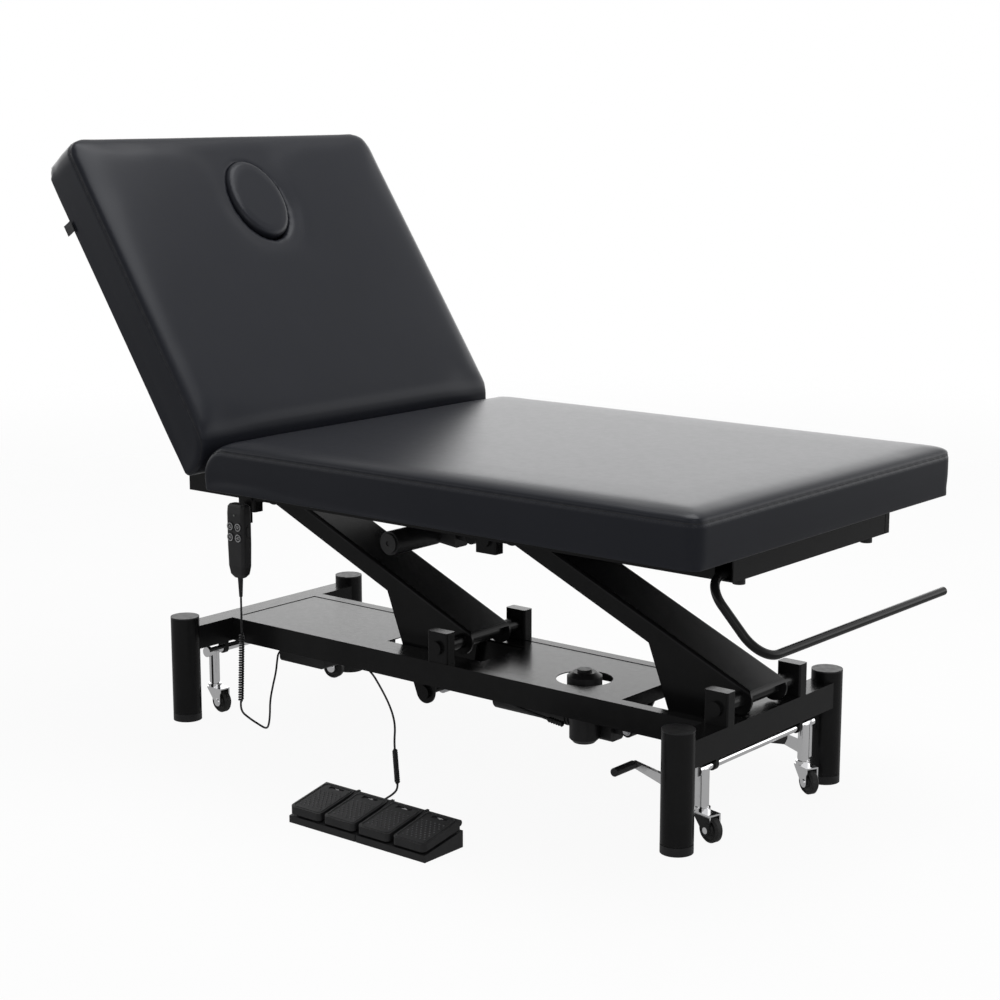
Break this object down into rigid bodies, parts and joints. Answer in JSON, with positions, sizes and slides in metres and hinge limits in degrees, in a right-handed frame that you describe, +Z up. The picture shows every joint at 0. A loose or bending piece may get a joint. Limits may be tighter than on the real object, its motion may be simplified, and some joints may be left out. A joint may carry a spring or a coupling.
{
  "type": "treatment table",
  "caption": "Electric treatment table with a tilting back section and face plug, parallelogram lift arms, castor gear, paper bar, handset and foot switch.",
  "frame": {"origin": "on the floor, midway between the four posts", "axes": "+X to the foot end, +Y to the far side, +Z up"},
  "size_m": [1.6523, 1.008, 1.2203],
  "materials": {
    "upholstery": "satin grained vinyl",
    "powder_coat": "satin powder coat",
    "black_plastic": "fine moulded grain",
    "button": "matte",
    "chrome": "bright plated",
    "steel": "ground",
    "castor_tyre": "matte",
    "cord": "satin"
  },
  "bodies": {
    "base": {"leg_posts": "powder_coat", "post_end_caps": "black_plastic", "cross_beam_head": "powder_coat", "cross_beam_foot": "powder_coat", "tray_rail_near": "powder_coat", "tray_rail_far": "powder_coat", "tray_panel": "powder_coat", "base_pivot_blocks": "powder_coat", "control_box": "black_plastic", "lift_rear_bracket": "powder_coat", "foot_control_base": "black_plastic", "lift_motor_cable": "cord", "handset_cord_leads": "cord", "handset_cord_curl": "cord", "foot_cord_leads": "cord", "foot_cord_curl": "cord"},
    "head_arm": {"head_arm_channel": "powder_coat", "head_arm_tubes": "powder_coat"},
    "foot_arm": {"foot_arm_channel": "powder_coat", "foot_arm_tubes": "powder_coat"},
    "top_frame": {"side_rail_near": "powder_coat", "side_rail_far": "powder_coat", "end_rail_foot": "powder_coat", "end_rail_head": "powder_coat", "cross_rail_mid": "powder_coat", "frame_pivot_blocks": "powder_coat", "seat_cushion": "upholstery", "handset_hook": "powder_coat", "bar_clamp_screws": "black_plastic"},
    "paper_bar": {"paper_roll_bar": "powder_coat"},
    "backrest": {"backrest_cushion": "upholstery", "backrest_frame": "powder_coat"},
    "face_plug": {"face_plug": "upholstery"},
    "lift_actuator": {"lift_actuator_housing": "black_plastic", "lift_actuator_motor": "black_plastic"},
    "lift_rod": {"lift_actuator_rod": "steel"},
    "back_actuator": {"back_actuator_housing": "black_plastic", "back_actuator_motor": "black_plastic"},
    "back_rod": {"back_actuator_rod": "steel"},
    "castor_gear_head": {"castor_axle_head": "chrome"},
    "castor_gear_foot": {"castor_axle_foot": "chrome", "castor_lever_grips": "black_plastic"},
    "handset": {"handset_shell": "black_plastic", "handset_strain_relief": "black_plastic"},
    "castor_swivel_head_near": {"castor_fork_head_near": "chrome"},
    "castor_wheel_head_near": {"castor_wheel_head_near": "castor_tyre"},
    "castor_swivel_head_far": {"castor_fork_head_far": "chrome"},
    "castor_wheel_head_far": {"castor_wheel_head_far": "castor_tyre"},
    "castor_swivel_foot_near": {"castor_fork_foot_near": "chrome"},
    "castor_wheel_foot_near": {"castor_wheel_foot_near": "castor_tyre"},
    "castor_swivel_foot_far": {"castor_fork_foot_far": "chrome"},
    "castor_wheel_foot_far": {"castor_wheel_foot_far": "castor_tyre"},
    "handset_button_1": {"handset_button_1": "button"},
    "handset_button_2": {"handset_button_2": "button"},
    "handset_button_3": {"handset_button_3": "button"},
    "handset_button_4": {"handset_button_4": "button"},
    "foot_pedal_1": {"foot_pedal_1": "black_plastic"},
    "foot_pedal_2": {"foot_pedal_2": "black_plastic"},
    "foot_pedal_3": {"foot_pedal_3": "black_plastic"},
    "foot_pedal_4": {"foot_pedal_4": "black_plastic"}
  },
  "joints": [
    {"name": "lift", "type": "hinge", "parent": "base", "child": "head_arm", "pos_m": [-0.025, 0, 0.233], "axis": [0, 1, 0], "range_deg": [-15.8, 36.2], "deforming": ["handset_cord_leads", "handset_cord_curl", "lift_motor_cable"]},
    {"name": "top_level", "type": "hinge", "parent": "head_arm", "child": "top_frame", "pos_m": [-0.555, 0, 0.467], "axis": [0, 1, 0], "range_deg": [-36.2, 15.8]},
    {"name": "foot_arm_swing", "type": "hinge", "parent": "base", "child": "foot_arm", "pos_m": [0.628, 0, 0.233], "axis": [0, 1, 0], "range_deg": [-15.8, 36.2]},
    {"name": "lift_actuator_tilt", "type": "hinge", "parent": "base", "child": "lift_actuator", "pos_m": [0.35, 0, 0.108], "axis": [0, 1, 0], "range_deg": [-3.79, 8.42]},
    {"name": "lift_rod_tilt", "type": "hinge", "parent": "head_arm", "child": "lift_rod", "pos_m": [-0.12247, 0, 0.10879], "axis": [0, 1, 0], "range_deg": [-28.18, 12.41]},
    {"name": "backrest_tilt", "type": "hinge", "parent": "top_frame", "child": "backrest", "pos_m": [-0.396, 0, 0.556], "axis": [0, 1, 0], "range_deg": [-56.2, 3]},
    {"name": "back_actuator_tilt", "type": "hinge", "parent": "top_frame", "child": "back_actuator", "pos_m": [0.03, -0.082, 0.455], "axis": [0, 1, 0], "range_deg": [-10.71, 0.76]},
    {"name": "back_rod_tilt", "type": "hinge", "parent": "backrest", "child": "back_rod", "pos_m": [-0.52628, -0.082, 0.51692], "axis": [0, 1, 0], "range_deg": [-2.64, 45.89]},
    {"name": "face_plug_out", "type": "slide", "parent": "backrest", "child": "face_plug", "axis": [0.831, 0, 0.5563], "range_m": [0, 0.12]},
    {"name": "paper_bar_slide", "type": "slide", "parent": "top_frame", "child": "paper_bar", "axis": [0, -1, 0], "range_m": [0, 0.15]},
    {"name": "castor_gear_head_swing", "type": "hinge", "parent": "base", "child": "castor_gear_head", "pos_m": [-0.628, 0, 0.133], "axis": [0, -1, 0], "range_deg": [0, 60]},
    {"name": "castor_gear_foot_swing", "type": "hinge", "parent": "base", "child": "castor_gear_foot", "pos_m": [0.628, 0, 0.133], "axis": [0, 1, 0], "range_deg": [0, 60]},
    {"name": "handset_lift_off", "type": "slide", "parent": "top_frame", "child": "handset", "axis": [0, 0, 1], "range_m": [0, 0.03]},
    {"name": "castor_swivel_head_near", "type": "hinge", "parent": "castor_gear_head", "child": "castor_swivel_head_near", "pos_m": [-0.628, -0.17, 0.06], "axis": [0, 0, 1], "continuous": true},
    {"name": "castor_roll_head_near", "type": "hinge", "parent": "castor_swivel_head_near", "child": "castor_wheel_head_near", "pos_m": [-0.60605, -0.17153, 0.0255], "axis": [0.0698, 0.9976, 0], "continuous": true},
    {"name": "castor_swivel_head_far", "type": "hinge", "parent": "castor_gear_head", "child": "castor_swivel_head_far", "pos_m": [-0.628, 0.17, 0.06], "axis": [0, 0, 1], "continuous": true},
    {"name": "castor_roll_head_far", "type": "hinge", "parent": "castor_swivel_head_far", "child": "castor_wheel_head_far", "pos_m": [-0.60648, 0.17457, 0.0255], "axis": [-0.2079, 0.9781, 0], "continuous": true},
    {"name": "castor_swivel_foot_near", "type": "hinge", "parent": "castor_gear_foot", "child": "castor_swivel_foot_near", "pos_m": [0.628, -0.17, 0.06], "axis": [0, 0, 1], "continuous": true},
    {"name": "castor_roll_foot_near", "type": "hinge", "parent": "castor_swivel_foot_near", "child": "castor_wheel_foot_near", "pos_m": [0.64944, -0.17495, 0.0255], "axis": [0.225, 0.9744, 0], "continuous": true},
    {"name": "castor_swivel_foot_far", "type": "hinge", "parent": "castor_gear_foot", "child": "castor_swivel_foot_far", "pos_m": [0.628, 0.17, 0.06], "axis": [0, 0, 1], "continuous": true},
    {"name": "castor_roll_foot_far", "type": "hinge", "parent": "castor_swivel_foot_far", "child": "castor_wheel_foot_far", "pos_m": [0.64777, 0.16036, 0.0255], "axis": [0.4384, 0.8988, 0], "continuous": true},
    {"name": "handset_button_1_press", "type": "slide", "parent": "handset", "child": "handset_button_1", "axis": [0, 1, 0], "range_m": [0, 0.0015], "stiffness_N_per_m": 600},
    {"name": "handset_button_2_press", "type": "slide", "parent": "handset", "child": "handset_button_2", "axis": [0, 1, 0], "range_m": [0, 0.0015], "stiffness_N_per_m": 600},
    {"name": "handset_button_3_press", "type": "slide", "parent": "handset", "child": "handset_button_3", "axis": [0, 1, 0], "range_m": [0, 0.0015], "stiffness_N_per_m": 600},
    {"name": "handset_button_4_press", "type": "slide", "parent": "handset", "child": "handset_button_4", "axis": [0, 1, 0], "range_m": [0, 0.0015], "stiffness_N_per_m": 600},
    {"name": "foot_pedal_1_press", "type": "hinge", "parent": "base", "child": "foot_pedal_1", "pos_m": [0.16, -0.4755, 0.0455], "axis": [1, 0, 0], "range_deg": [0, 2.5], "stiffness_Nm_per_rad": 6},
    {"name": "foot_pedal_2_press", "type": "hinge", "parent": "base", "child": "foot_pedal_2", "pos_m": [0.16, -0.4755, 0.0455], "axis": [1, 0, 0], "range_deg": [0, 2.5], "stiffness_Nm_per_rad": 6},
    {"name": "foot_pedal_3_press", "type": "hinge", "parent": "base", "child": "foot_pedal_3", "pos_m": [0.16, -0.4755, 0.0455], "axis": [1, 0, 0], "range_deg": [0, 2.5], "stiffness_Nm_per_rad": 6},
    {"name": "foot_pedal_4_press", "type": "hinge", "parent": "base", "child": "foot_pedal_4", "pos_m": [0.16, -0.4755, 0.0455], "axis": [1, 0, 0], "range_deg": [0, 2.5], "stiffness_Nm_per_rad": 6}
  ],
  "couplings": [
    {"joint": "top_level", "follows": "lift", "ratio": -1},
    {"joint": "foot_arm_swing", "follows": "lift", "ratio": 1},
    {"joint": "lift_actuator_tilt", "follows": "lift", "ratio": 0.227},
    {"joint": "lift_rod_tilt", "follows": "lift", "ratio": -0.773},
    {"joint": "back_actuator_tilt", "follows": "backrest_tilt", "ratio": 0.187},
    {"joint": "back_rod_tilt", "follows": "backrest_tilt", "ratio": -0.813}
  ]
}
